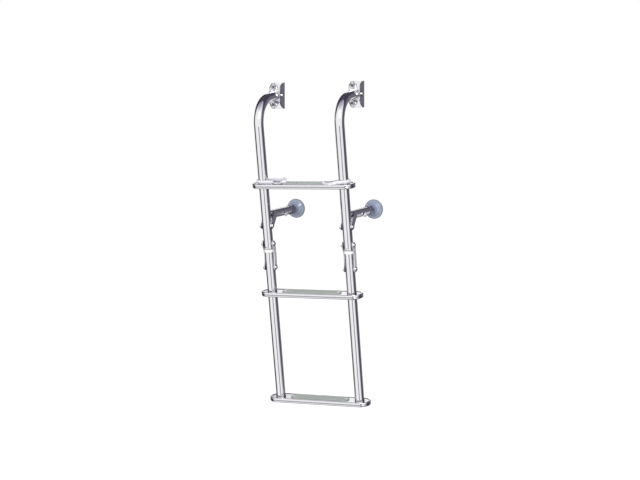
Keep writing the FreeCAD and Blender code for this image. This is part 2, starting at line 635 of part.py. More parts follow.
def add_arm(side):
    body = add_body(f"{side}_standoff_arm")
    ring = add_arm_sketch(body, f"-({ARM_START})")
    draw_circle(ring, "arm_dia / 2")
    draw_circle(ring, "arm_dia / 2 - arm_wall")
    pad(body, ring, f"arm_length + {ARM_START}", flip=True)
    saddle = add_sketch(body, "XY_Plane")
    draw_circle(saddle, ARM_START)
    pocket(body, saddle, "4 * arm_dia", middle=True)
    cross_hole(body, "cross_radius + bolt_fit", *arm_spot("cheek_along"))
    hole = add_arm_screw_sketch(body)
    draw_circle(hole, "thumb_dia / 2 + bolt_fit")
    pocket(body, hole, "arm_dia / 2")
    place_standoff(body, side)


def add_arm_screw_sketch(body, below="0"):
    """A sketch square to the thumbscrew, this far from the arm's axis."""
    sketch = add_sketch(body, "XY_Plane")
    back, up = arm_spot("thumb_along", f"-({below}) * cos(thumb_turn)")
    spot = f"create(<<vector>>; ({below}) * sin(thumb_turn); {back}; {up})"
    tilt = "create(<<rotation>>; create(<<vector>>; 1; 0; 0); -arm_tilt)"
    turn = "create(<<rotation>>; create(<<vector>>; 0; 1; 0); -thumb_turn)"
    bind(sketch, "AttachmentOffset", f"create(<<placement>>; {spot}; {tilt} * {turn})")
    return sketch


def add_pad(side):
    """A rubber mushroom: a long hub over the arm's end and a disc that rests on the hull."""
    body = add_body(f"{side}_standoff_pad")
    profile = add_arm_profile(body)
    mouth, face, socket = "arm_length - hub_length", "arm_length + pad_floor", "arm_dia / 2 + pad_fit"
    lip = "pad_dia / 2 - pad_lip"
    corners = [
        (mouth, socket),
        ("arm_length", socket),
        ("arm_length", "0"),
        (face, "0"),
        (face, "pad_dia / 2"),
        (f"{face} - pad_edge", "pad_dia / 2"),
        (f"{face} - pad_edge", lip),
        (f"{face} - pad_edge - pad_step", lip),
        (f"{face} - pad_depth", "hub_dia / 2"),
        (mouth, "hub_dia / 2"),
    ]
    draw_polygon(profile, corners)
    turn = body.newObject("PartDesign::Revolution", body.Label + "_turned")
    turn.Profile = profile
    turn.ReferenceAxis = (profile, ["H_Axis"])
    turn.Angle = 360
    disc, hub, reach = size_of("pad_dia") / 2, size_of("hub_dia") / 2, size_of("arm_length")
    round_edges(body, "pad_round", lambda edge: is_ring(edge, disc))
    round_edges(body, "hub_round", lambda edge: is_ring(edge, hub) and edge.BoundBox.YMax > reach)
    round_edges(body, "mouth_round", lambda edge: is_ring(edge, hub) and edge.BoundBox.YMax < reach)
    place_standoff(body, side)


def add_thumbscrew(side):
    body = add_body(f"{side}_standoff_thumbscrew")
    shank = add_arm_screw_sketch(body, "arm_dia / 2 - 2 * arm_wall")
    draw_circle(shank, "thumb_dia / 2")
    pad(body, shank, "2 * arm_wall + thumb_neck", flip=True)
    head = add_arm_screw_sketch(body, "arm_dia / 2 + thumb_neck")
    draw_circle(head, "thumb_head / 2")
    pad(body, head, "thumb_height", flip=True)
    knob = size_of("thumb_head") / 2
    round_edges(body, "thumb_round", lambda edge: is_ring(edge, knob))
    place_standoff(body, side)


# Straps: a loose closed band round the rail, drawn out along the top tread
def add_strap(side):
    body = add_body(f"{side}_strap")
    band = add_sketch(body, "XY_Plane")
    inward = 1 if side == "left" else -1
    fold, aim = f"{inward} * (strap_reach - strap_tip - strap_sheet)", 90 - 90 * inward
    draw_teardrop(band, "strap_loop + strap_sheet", "strap_tip + strap_sheet", fold, "0", aim)
    draw_teardrop(band, "strap_loop", "strap_tip", fold, "0", aim)
    pad(body, band, "strap_width")
    place_on_rail(body, SIDES[side], up="top_tread_up + insert_height - deck_drop + strap_lift")


for side in SIDES:
    add_bracket(side)
    bolt = add_bolt(f"{side}_bracket_bolt", "pivot_bolt_dia", "ear_gap + 2 * bracket_wall")
    place(bolt, SIDES[side], "-pivot_setback")
    add_upper_rail(side)
    add_hinge_plug(side)
    add_spacer(side)
    add_lower_rail(side)
    add_end_plug(side)
    for hand in ("outer", "inner"):
        add_link(side, hand)
    grip = "tube_dia + 2 * (side_gap + link_plate)"
    for name, up in (("upper", "0"), ("lower", "-link_length")):
        bolt = add_bolt(f"{side}_{name}_hinge_bolt", "bolt_dia", grip)
        place_on_rail(bolt, SIDES[side], up=up)
    place_standoff(add_bolt(f"{side}_standoff_bolt", "bolt_dia", grip), side)
    add_fork(side)
    add_arm(side)
    add_pad(side)
    add_thumbscrew(side)
    add_strap(side)

for name, up in (("top", "top_tread_up"), ("middle", MIDDLE_TREAD_UP), ("bottom", BOTTOM_TREAD_UP)):
    add_tread(f"{name}_tread", up)
    add_insert(f"{name}_tread_insert", up)

doc.recompute()
for thing in doc.Objects:
    if "Invalid" in thing.State or "Error" in thing.State:
        raise RuntimeError(f"{thing.Label}: {thing.State}")

os.makedirs("parts", exist_ok=True)
for body in SUBPARTS:
    if body.Shape.isNull() or not body.Shape.isValid() or len(body.Shape.Solids) != 1:
        raise RuntimeError(f"{body.Label} isn't one valid solid")
    body.Shape.exportStep(f"parts/{body.Label}.step")
    print(f"{body.Label}: {body.Shape.Volume / 1000:.2f} cm3")
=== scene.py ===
import json
import math

import bmesh
import bpy
from bpy.props import FloatProperty, FloatVectorProperty, IntProperty, PointerProperty
from mathutils import Matrix, Vector


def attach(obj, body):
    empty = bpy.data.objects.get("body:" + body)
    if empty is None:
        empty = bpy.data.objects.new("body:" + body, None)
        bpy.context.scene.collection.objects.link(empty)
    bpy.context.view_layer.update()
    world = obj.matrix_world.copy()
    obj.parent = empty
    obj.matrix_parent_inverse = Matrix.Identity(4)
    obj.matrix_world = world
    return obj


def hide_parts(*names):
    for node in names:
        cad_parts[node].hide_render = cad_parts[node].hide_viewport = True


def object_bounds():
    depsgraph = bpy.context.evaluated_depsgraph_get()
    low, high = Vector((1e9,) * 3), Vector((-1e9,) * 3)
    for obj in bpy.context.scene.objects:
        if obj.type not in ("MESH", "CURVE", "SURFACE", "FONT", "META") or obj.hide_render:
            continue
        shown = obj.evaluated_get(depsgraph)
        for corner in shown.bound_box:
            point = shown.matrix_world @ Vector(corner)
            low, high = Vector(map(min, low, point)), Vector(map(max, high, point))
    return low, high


bl_info = {
    "name": "Folding swim ladder",
    "version": (1, 0, 0),
    "blender": (4, 5, 0),
    "location": "3D View > Sidebar > Swim ladder",
    "description": "Finishes, small fittings and studio for a folding swim ladder",
    "category": "Object",
}

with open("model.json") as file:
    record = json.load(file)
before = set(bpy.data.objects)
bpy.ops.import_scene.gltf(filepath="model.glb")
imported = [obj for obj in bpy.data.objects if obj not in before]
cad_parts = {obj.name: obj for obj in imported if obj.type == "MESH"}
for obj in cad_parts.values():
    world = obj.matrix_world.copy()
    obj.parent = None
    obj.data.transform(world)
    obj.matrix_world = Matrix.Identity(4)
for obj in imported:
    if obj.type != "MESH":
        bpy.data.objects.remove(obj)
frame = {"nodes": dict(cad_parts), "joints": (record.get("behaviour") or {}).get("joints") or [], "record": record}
CAD_BOX = [list(corner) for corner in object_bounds()]

MM = 0.001
SIDES = ("left", "right")
TREAD_BODIES = {"upper_section": ("top",), "lower_section": ("middle", "bottom")}
NODES = frame["nodes"]
JOINTS = {joint["name"]: joint for joint in frame["joints"]}
MOUNTS = {mount["name"]: mount for mount in frame["record"]["mounts"]}
ACROSS = Vector((1, 0, 0))
UPPER_PIN = Vector(JOINTS["link_fold"]["pos_m"])
LOWER_PIN = Vector(JOINTS["section_fold"]["pos_m"])
RAIL_UP = (UPPER_PIN - LOWER_PIN).normalized()
RAIL_BACK = RAIL_UP.cross(ACROSS)
ARM_AXIS = Vector(MOUNTS["left_pad_face"]["axis"])
ARM_DOWN = ACROSS.cross(ARM_AXIS) * -1
# how far across the ladder each rail stands
RAIL_ACROSS = {side: MOUNTS[f"{side}_bracket_back"]["pos_m"][0] for side in SIDES}


def linear(hex_colour):
    """An sRGB hex colour as linear red, green, blue and alpha."""
    shares = [int(hex_colour[k:k + 2], 16) / 255 for k in (0, 2, 4)]
    return [s / 12.92 if s <= 0.04045 else ((s + 0.055) / 1.055) ** 2.4 for s in shares] + [1.0]


def span(node, direction):
    """The least and greatest reach of a CAD node along a direction, in metres."""
    reach = [vertex.co.dot(direction) for vertex in NODES[node].data.vertices]
    return min(reach), max(reach)


def middle(node, direction):
    return sum(span(node, direction)) / 2


def placed(*reaches):
    """A matrix whose X, Y and Z run along three axes, at the point given by its reach along each."""
    point = sum((axis * reach for axis, reach in reaches), Vector())
    turned = Matrix([axis for axis, reach in reaches]).transposed().to_4x4()
    return Matrix.Translation(point) @ turned


def colour_setting(name, description, hex_colour):
    return FloatVectorProperty(
        name=name, description=description, subtype="COLOR", size=4, min=0, max=1, default=linear(hex_colour))


def length_setting(name, description, millimetres):
    return FloatProperty(name=name, description=description, unit="LENGTH", default=millimetres * MM)


def angle_setting(name, description, degrees):
    return FloatProperty(name=name, description=description, subtype="ANGLE", default=math.radians(degrees))


class LadderFinishes(bpy.types.PropertyGroup):
    steel: colour_setting("Steel", "Polished stainless steel", "E2E2E5")
    pad: colour_setting("Pad", "Moulded pads on the stand-offs", "9BA4BB")
    # the hub colour is the pad colour with painted shade, for the hub facing the dark side of the studio
    hub: colour_setting("Pad hub", "Hub of each pad, round its arm", "555370")
    grip: colour_setting("Grip", "Grip inserts on the treads", "B1B8B3")
    nylon: colour_setting("Nylon", "Spacers and plugs in the rails", "F5F5F5")
    vinyl: colour_setting("Vinyl", "Straps on the top tread", "ECEAF2")


class LadderFittings(bpy.types.PropertyGroup):
    screw_spacing: length_setting("Screw spacing", "Between the two screws of a grip insert", 154)
    screw_head: length_setting("Screw head", "Diameter of a grip insert's screw head", 7.4)
    screw_crown: length_setting("Screw crown", "Height of a screw head above its seat", 2.0)
    recess: length_setting("Recess", "Width of the cross recess in a screw head", 0.9)
    ridges: IntProperty(name="Ridges", description="Ridges round a thumbscrew's head", default=22, min=3)
    ridge: length_setting("Ridge", "Width of one ridge on a thumbscrew's head", 0.9)
    thumb_turn: angle_setting("Thumbscrew turn", "Turn of a thumbscrew about its arm, from straight down", 68)
    strap_drop: length_setting(
        "Strap drop", "From a strap on its grip insert down to the deck beside it", 2.6)
    loop_rise: length_setting("Loop rise", "A strap's lower edge above the deck, round its rail", 1.3)
    left_fold: length_setting("Left fold", "Radius of the left strap's far fold", 10)
    left_shift: length_setting("Left shift", "How far the left strap's far fold lies forward", 4)
    left_curl: length_setting("Left curl", "How far the left strap's far fold curls up", 4.6)
    left_flop: angle_setting("Left flop", "How far the left strap's front flops over", 75)
    right_fold: length_setting("Right fold", "Radius of the right strap's far fold", 9.5)
    right_reach: length_setting("Right reach", "From the rail's axis to the right strap's far fold", 62)
    right_belly: length_setting("Right belly", "How far the right strap's front bellies out", 12.5)
    right_slump: angle_setting("Right slump", "How far the right strap slumps inward", 66)


class LadderStudio(bpy.types.PropertyGroup):
    azimuth: angle_setting("Azimuth", "Camera's place round the ladder, from its front", 24.47)
    height: angle_setting("Height", "Camera above the point it looks at", 2.39)
    distance: FloatProperty(name="Distance", description="Camera to that point", unit="LENGTH", default=4.445)
    lens: FloatProperty(name="Lens", description="Focal length in millimetres", default=95.93)
    aim: FloatVectorProperty(
        name="Aim", description="Point that the camera looks at", subtype="TRANSLATION", size=3,
        default=(0.1495, -0.0681, -0.3803))
    floor_drop: FloatProperty(
        name="Floor", description="Floor below the ladder's lowest point", unit="LENGTH", default=0.45)
    ambient: FloatProperty(name="Ambient", description="Light of the studio on plain surfaces", default=0.80)
    mirrored: FloatProperty(name="Mirrored", description="Light of the studio in the steel", default=1.12)
    key: FloatProperty(name="Key lamp", description="Power of the key lamp in watts", default=36)


# Materials
# a Mix node's colour sockets by number, because their names are shared with its other sockets
FIRST, SECOND, BLENDED = 6, 7, 2
# colour of the painted shade drawn into the corners and grooves of the steel
CREASE_SHADE = "5E5A62"


def add_node(tree, kind, links=(), **settings):
    """Adds a node. Settings name its properties, and inputs holds its inputs by name or number."""
    node = tree.nodes.new(kind)
    for key, value in settings.pop("inputs", {}).items():
        node.inputs[key].default_value = value
    for key, value in settings.items():
        setattr(node, key, value)
    for source, socket in links:
        tree.links.new(source, node.inputs[socket])
    return node


def arithmetic(tree, operation, *values):
    """The result of a Math node. Each value is a number or another node's result."""
    links, numbers = [], {}
    for k, value in enumerate(values):
        if isinstance(value, bpy.types.NodeSocket):
            links.append((value, k))
        else:
            numbers[k] = value
    return add_node(tree, "ShaderNodeMath", links, operation=operation, inputs=numbers).outputs["Value"]


def add_ramp(tree, share, stops):
    """The colour of a ramp at a share from 0 to 1. Each stop is a share and its colour."""
    node = add_node(tree, "ShaderNodeValToRGB", [(share, "Fac")])
    ramp = node.color_ramp
    while len(ramp.elements) < len(stops):
        ramp.elements.new(0.5)
    for element, (position, colour) in zip(ramp.elements, stops):
        element.position = position
        element.color = colour
    return node.outputs["Color"]


def new_material(name, **inputs):
    """A material with one Principled shader, and that shader."""
    material = bpy.data.materials.new(name)
    material.use_nodes = True
    shader = material.node_tree.nodes["Principled BSDF"]
    for key, value in inputs.items():
        shader.inputs[key.replace("_", " ")].default_value = value
    return material, shader


def paint_crease_shade(tree, shader, steel, shade_colour, reach=3.5 * MM, dark_at=0.25, unshaded_at=0.85):
    """Paints shade into corners and grooves as dark lines, darker where less room round a point is open.

    Reach is how near the walls of a crease stand. The painted shade is full where less than the share dark_at
    of the room round a point is open, and gone where more than unshaded_at is."""
    openness = add_node(tree, "ShaderNodeAmbientOcclusion", samples=8, inputs={"Distance": reach})
    clean = add_node(
        tree, "ShaderNodeMapRange", [(openness.outputs["AO"], "Value")],
        inputs={"From Min": dark_at, "From Max": unshaded_at})
    blend = add_node(
        tree, "ShaderNodeMix", [(clean.outputs["Result"], "Factor")], data_type="RGBA",
        inputs={FIRST: linear(shade_colour), SECOND: steel})
    tree.links.new(blend.outputs[BLENDED], shader.inputs["Base Color"])


def stainless_steel():
    """Drawn 316 stainless tube and sheet, buffed to a mirror. Faint wiping marks break up its gloss."""
    steel = bpy.context.scene.ladder_finishes.steel
    material, shader = new_material("buffed_316_stainless", Metallic=1.0, Base_Color=steel)
    tree = material.node_tree
    place = add_node(tree, "ShaderNodeTexCoord")
    wipe_length = 40 * MM
    marks = add_node(
        tree, "ShaderNodeTexNoise", [(place.outputs["Object"], "Vector")],
        inputs={"Scale": 1 / wipe_length, "Detail": 3.0})
    buffed, wiped = 0.05, 0.10
    gloss = add_node(
        tree, "ShaderNodeMapRange", [(marks.outputs["Fac"], "Value")],
        inputs={"From Min": 0.3, "From Max": 0.7, "To Min": buffed, "To Max": wiped})
    tree.links.new(gloss.outputs["Result"], shader.inputs["Roughness"])
    # painted shade: corners and grooves of the mirror steel drawn as dark lines
    paint_crease_shade(tree, shader, steel, CREASE_SHADE)
    return material


def satin_stainless():
    """Stamped stainless plate, tumbled to a satin that mirrors its surroundings as a soft pale grey."""
    steel = bpy.context.scene.ladder_finishes.steel
    material, shader = new_material(
        "tumbled_satin_stainless", Metallic=0.62, Roughness=0.38, Base_Color=steel)
    # painted shade: corners and grooves of the satin plate drawn as dark lines
    paint_crease_shade(material.node_tree, shader, steel, CREASE_SHADE)
    return material


def headed_stainless():
    """Cold-headed stainless wire, as on small screws: bright, clean and softly shiny."""
    steel = bpy.context.scene.ladder_finishes.steel
    return new_material("headed_stainless_wire", Metallic=0.2, Roughness=0.25, Base_Color=steel)[0]


def rolled_stainless():
    """Pressed stainless pan with a rolled rim: mirror bright, with painted shade darkening the groove of its rim.
    """
    steel = bpy.context.scene.ladder_finishes.steel
    material, shader = new_material("rolled_stainless_rim", Metallic=1.0, Roughness=0.08, Base_Color=steel)
    # dark brown painted shade in the groove of the rolled rim and in the tread's other tight corners
    groove_shade = "3C2E34"
    paint_crease_shade(
        material.node_tree, shader, steel, groove_shade, reach=2.6 * MM, dark_at=0.52, unshaded_at=0.93)
    return material


def moulded_pvc():
    """Soft PVC moulded in a polished tool: glossy and blue-grey, with painted shade making it darker where the hub
    grips the arm.

    Shallow rings moulded into each pad are bumps, and painted light and shade on them draws paler and darker
    circles and a dark outer edge."""
    finishes = bpy.context.scene.ladder_finishes
    material, shader = new_material("moulded_soft_pvc", Roughness=0.34, Coat_Weight=1.0, Coat_Roughness=0.07)
    tree = material.node_tree
    place = add_node(tree, "ShaderNodeTexCoord").outputs["Object"]
    along = add_node(
        tree, "ShaderNodeVectorMath", [(place, 0)], operation="DOT_PRODUCT", inputs={1: ARM_AXIS})
    face = span("left_standoff_pad", ARM_AXIS)[1]
    hub_end, disc_start = face - 30 * MM, face - 22 * MM
    # painted shade: the pad's colour turns to the darker hub colour towards the arm
    fade = add_node(
        tree, "ShaderNodeMapRange", [(along.outputs["Value"], "Value")],
        inputs={"From Min": hub_end, "From Max": disc_start})
    blend = add_node(
        tree, "ShaderNodeMix", [(fade.outputs["Result"], "Factor")], data_type="RGBA",
        inputs={FIRST: finishes.hub, SECOND: finishes.pad})
    # how far a point lies from the nearer arm's axis, as a share of the pad's radius
    ladder_middle = sum(RAIL_ACROSS.values()) / 2
    half_spacing = (RAIL_ACROSS["right"] - RAIL_ACROSS["left"]) / 2
    across = add_node(tree, "ShaderNodeSeparateXYZ", [(place, "Vector")]).outputs["X"]
    from_middle = arithmetic(tree, "ABSOLUTE", arithmetic(tree, "SUBTRACT", across, ladder_middle))
    beside_axis = arithmetic(tree, "SUBTRACT", from_middle, half_spacing)
    down = add_node(
        tree, "ShaderNodeVectorMath", [(place, 0)], operation="DOT_PRODUCT", inputs={1: ARM_DOWN})
    top, bottom = span("left_standoff_pad", ARM_DOWN)
    below_axis = arithmetic(tree, "SUBTRACT", down.outputs["Value"], (top + bottom) / 2)
    spot = add_node(tree, "ShaderNodeCombineXYZ", [(beside_axis, "X"), (below_axis, "Y")])
    radius = add_node(tree, "ShaderNodeVectorMath", [(spot.outputs["Vector"], 0)], operation="LENGTH")
    share = arithmetic(tree, "DIVIDE", radius.outputs["Value"], (bottom - top) / 2)
    # share of the pad's radius, and the painted light and shade of the moulded rings there
    ring_light_and_shade = ((0.46, 0.70), (0.58, 1.0), (0.68, 0.72), (0.80, 1.06), (0.90, 0.90), (0.97, 0.50))
    rings = add_ramp(tree, share, [(position, (tone, tone, tone, 1)) for position, tone in ring_light_and_shade])
    ring_shaded = add_node(
        tree, "ShaderNodeMix", [(blend.outputs[BLENDED], FIRST), (rings, SECOND)], data_type="RGBA",
        blend_type="MULTIPLY", inputs={"Factor": 1.0})
    tree.links.new(ring_shaded.outputs[BLENDED], shader.inputs["Base Color"])
    ring_height = 1.5 * MM
    moulded = add_node(
        tree, "ShaderNodeBump", [(rings, "Height")], inputs={"Strength": 1.0, "Distance": ring_height})
    tree.links.new(moulded.outputs["Normal"], shader.inputs["Normal"])
    return material


def grip_rubber():
    """Extruded grey rubber with a fine pebbled skin, which takes the shine off its ribs."""
    material, shader = new_material(
        "pebbled_grip_rubber", Roughness=0.55, Base_Color=bpy.context.scene.ladder_finishes.grip)
    tree = material.node_tree
    place = add_node(tree, "ShaderNodeTexCoord")
    pebble = 1.2 * MM
    skin = add_node(
        tree, "ShaderNodeTexVoronoi", [(place.outputs["Object"], "Vector")], inputs={"Scale": 1 / pebble})
    bump = add_node(
        tree, "ShaderNodeBump", [(skin.outputs["Distance"], "Height")],
        inputs={"Strength": 0.35, "Distance": 0.2 * MM})
    tree.links.new(bump.outputs["Normal"], shader.inputs["Normal"])
    return material


def natural_nylon():
    """Turned nylon rod, cream white and slightly waxy."""
    return new_material(
        "turned_natural_nylon", Roughness=0.38, Base_Color=bpy.context.scene.ladder_finishes.nylon)[0]


def clear_vinyl():
    """Calendered vinyl strip, pale and smooth, that lets a little light through."""
    return new_material(
        "calendered_vinyl", Roughness=0.35, Base_Color=bpy.context.scene.ladder_finishes.vinyl,
        Subsurface_Weight=0.6, Subsurface_Radius=(1, 1, 1), Subsurface_Scale=2 * MM,
        Coat_Weight=0.3, Coat_Roughness=0.1)[0]


FINISHES = {
    "stainless": stainless_steel,
    "satin": satin_stainless,
    "rolled": rolled_stainless,
    "rubber": moulded_pvc,
    "grip": grip_rubber,
    "nylon": natural_nylon,
    "vinyl": clear_vinyl,
}


class LADDER_OT_finishes(bpy.types.Operator):
    """Gives each CAD piece the finish of its material"""
    bl_idname = "ladder.finishes"
    bl_label = "Finishes"

    def execute(self, context):
        made = {slot: make() for slot, make in FINISHES.items()}
        for subpart in frame["record"]["subparts"]:
            node, finish = subpart["node"], subpart["material_slot"]
            if node.endswith(("_link", "_thumbscrew")):
                finish = "satin"
            elif node.endswith("_tread"):
                finish = "rolled"
            mesh = NODES[node].data
            mesh.materials.clear()
            mesh.materials.append(made[finish])
        return {"FINISHED"}


def finish_of(node):
    return NODES[node].data.materials[0]


# Pieces made by Geometry Nodes
def new_tree(name, sizes):
    """A Geometry Nodes tree with a material input and the named sizes as inputs, and its input node."""
    tree = bpy.data.node_groups.new(name, "GeometryNodeTree")
    tree.interface.new_socket("Geometry", in_out="OUTPUT", socket_type="NodeSocketGeometry")
    for size, kind in sizes.items():
        tree.interface.new_socket(size, in_out="INPUT", socket_type=kind)
    tree.interface.new_socket("Material", in_out="INPUT", socket_type="NodeSocketMaterial")
    return tree, tree.nodes.new("NodeGroupInput")


def close_tree(tree, entry, instances):
    """Ends a tree: real meshes with their material."""
    real = add_node(tree, "GeometryNodeRealizeInstances", [(instances, "Geometry")])
    painted = add_node(
        tree, "GeometryNodeSetMaterial",
        [(real.outputs["Geometry"], "Geometry"), (entry.outputs["Material"], "Material")])
    add_node(tree, "NodeGroupOutput", [(painted.outputs["Geometry"], "Geometry")])
    return tree


def screw_pair():
    """Two pan-head screws in a row along X, each with a cross recess, their seats at height 0."""
    length = "NodeSocketFloat"
    tree, entry = new_tree("screw_pair", {
        "Spacing": length, "Head": length, "Crown": length, "Recess": length})
    sizes = entry.outputs
    # the crown's flat and the recess, as shares of the head's diameter
    flat_share, recess_share = 0.36, 0.52
    start = add_node(
        tree, "ShaderNodeCombineXYZ", [(arithmetic(tree, "MULTIPLY", sizes["Spacing"], -0.5), "X")])
    step = add_node(tree, "ShaderNodeCombineXYZ", [(sizes["Spacing"], "X")])
    row = add_node(
        tree, "GeometryNodeMeshLine",
        [(start.outputs["Vector"], "Start Location"), (step.outputs["Vector"], "Offset")],
        inputs={"Count": 2})
    head = add_node(
        tree, "GeometryNodeMeshCone",
        [(arithmetic(tree, "MULTIPLY", sizes["Head"], flat_share), "Radius Top"),
         (arithmetic(tree, "MULTIPLY", sizes["Head"], 0.5), "Radius Bottom"), (sizes["Crown"], "Depth")],
        inputs={"Vertices": 32})
    arm = arithmetic(tree, "MULTIPLY", sizes["Head"], recess_share)
    lift = add_node(tree, "ShaderNodeCombineXYZ", [(sizes["Crown"], "Z")])
    cutters = []
    for first, second in ((arm, sizes["Recess"]), (sizes["Recess"], arm)):
        size = add_node(tree, "ShaderNodeCombineXYZ", [(first, "X"), (second, "Y"), (sizes["Crown"], "Z")])
        bar = add_node(tree, "GeometryNodeMeshCube", [(size.outputs["Vector"], "Size")])
        raised = add_node(
            tree, "GeometryNodeTransform",
            [(bar.outputs["Mesh"], "Geometry"), (lift.outputs["Vector"], "Translation")])
        cutters.append((raised.outputs["Geometry"], 1))
    cut = add_node(
        tree, "GeometryNodeMeshBoolean", [(head.outputs["Mesh"], 0), *cutters],
        operation="DIFFERENCE", solver="EXACT")
    screws = add_node(
        tree, "GeometryNodeInstanceOnPoints",
        [(row.outputs["Mesh"], "Points"), (cut.outputs["Mesh"], "Instance")])
    return close_tree(tree, entry, screws.outputs["Instances"])


def ridge_ring():
    """Upright ridges evenly round a circle about Z, as on a thumbscrew's head."""
    length = "NodeSocketFloat"
    tree, entry = new_tree("ridge_ring", {
        "Count": "NodeSocketInt", "Radius": length, "Height": length, "Ridge": length})
    sizes = entry.outputs
    ring = add_node(
        tree, "GeometryNodeMeshCircle", [(sizes["Count"], "Vertices"), (sizes["Radius"], "Radius")])
    ridge_radius = arithmetic(tree, "MULTIPLY", sizes["Ridge"], 0.5)
    bar = add_node(
        tree, "GeometryNodeMeshCylinder", [(ridge_radius, "Radius"), (sizes["Height"], "Depth")],
        inputs={"Vertices": 8})
    ridges = add_node(
        tree, "GeometryNodeInstanceOnPoints",
        [(ring.outputs["Mesh"], "Points"), (bar.outputs["Mesh"], "Instance")])
    return close_tree(tree, entry, ridges.outputs["Instances"])


def grown(name, tree, sizes, places):
    """The tree's result as one plain mesh object, repeated at each place."""
    seed = bpy.data.objects.new(name + "_seed", bpy.data.meshes.new(name + "_seed"))
    bpy.context.scene.collection.objects.link(seed)
    modifier = seed.modifiers.new(name, "NODES")
    modifier.node_group = tree
    sockets = {item.name: item.identifier for item in tree.interface.items_tree if item.in_out == "INPUT"}
    for size, value in sizes.items():
        modifier[sockets[size]] = value
    bpy.context.view_layer.update()
    grown_seed = seed.evaluated_get(bpy.context.evaluated_depsgraph_get())
    pattern = bpy.data.meshes.new_from_object(grown_seed)
    if not pattern.polygons:
        raise RuntimeError(f"{name} came out empty")
    joined = bmesh.new()
    for place in places:
        copy = pattern.copy()
        copy.transform(place)
        joined.from_mesh(copy)
    mesh = bpy.data.meshes.new(name)
    joined.to_mesh(mesh)
    joined.free()
    mesh.materials.append(sizes["Material"])
    bpy.data.objects.remove(seed)
    return add_object(name, mesh)


def add_object(name, mesh):
    piece = bpy.data.objects.new(name, mesh)
    bpy.context.scene.collection.objects.link(piece)
    return piece


class LADDER_OT_insert_screws(bpy.types.Operator):
    """Adds the two cross-head screws that hold each grip insert"""
    bl_idname = "ladder.insert_screws"
    bl_label = "Insert screws"

    def execute(self, context):
        fittings = context.scene.ladder_fittings
        tree = screw_pair()
        sizes = {
            "Spacing": fittings.screw_spacing,
            "Head": fittings.screw_head,
            "Crown": fittings.screw_crown,
            "Recess": fittings.recess,
            "Material": headed_stainless(),
        }
        for body, treads in TREAD_BODIES.items():
            screws = grown(f"{body}_insert_screws", tree, sizes, [self.seat(name) for name in treads])
            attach(screws, body)
        return {"FINISHED"}

    def seat(self, name):
        """Where the middle of a tread's screw pair lies, on the seats of its insert."""
        insert = f"{name}_tread_insert"
        seat_depth = 1.2 * MM
        up = span(insert, RAIL_UP)[1] - seat_depth
        return placed((ACROSS, middle(insert, ACROSS)), (RAIL_BACK, middle(insert, RAIL_BACK)), (RAIL_UP, up))


class LADDER_OT_thumbscrew_ridges(bpy.types.Operator):
    """Adds the ridges round each thumbscrew's head"""
    bl_idname = "ladder.thumbscrew_ridges"
    bl_label = "Thumbscrew ridges"

    def execute(self, context):
        fittings = context.scene.ladder_fittings
        tree = ridge_ring()
        rounding = 1.6 * MM
        head_height = 6 * MM
        for side in SIDES:
            screw = f"{side}_standoff_thumbscrew"
            outward = ARM_DOWN * math.cos(fittings.thumb_turn) + ACROSS * math.sin(fittings.thumb_turn)
            sideways = ARM_AXIS.cross(outward)
            reach = span(screw, sideways)
            sizes = {
                "Count": fittings.ridges,
                "Radius": (reach[1] - reach[0]) / 2 - fittings.ridge / 4,
                "Height": head_height - rounding,
                "Ridge": fittings.ridge,
                "Material": finish_of(screw),
            }
            out = span(screw, outward)[1] - (head_height + rounding) / 2
            place = placed(
                (sideways, middle(screw, sideways)), (ARM_AXIS, middle(screw, ARM_AXIS)), (outward, out))
            ridges = grown(f"{side}_thumbscrew_ridges", tree, sizes, [place])
            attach(ridges, f"{side}_standoff")
        return {"FINISHED"}


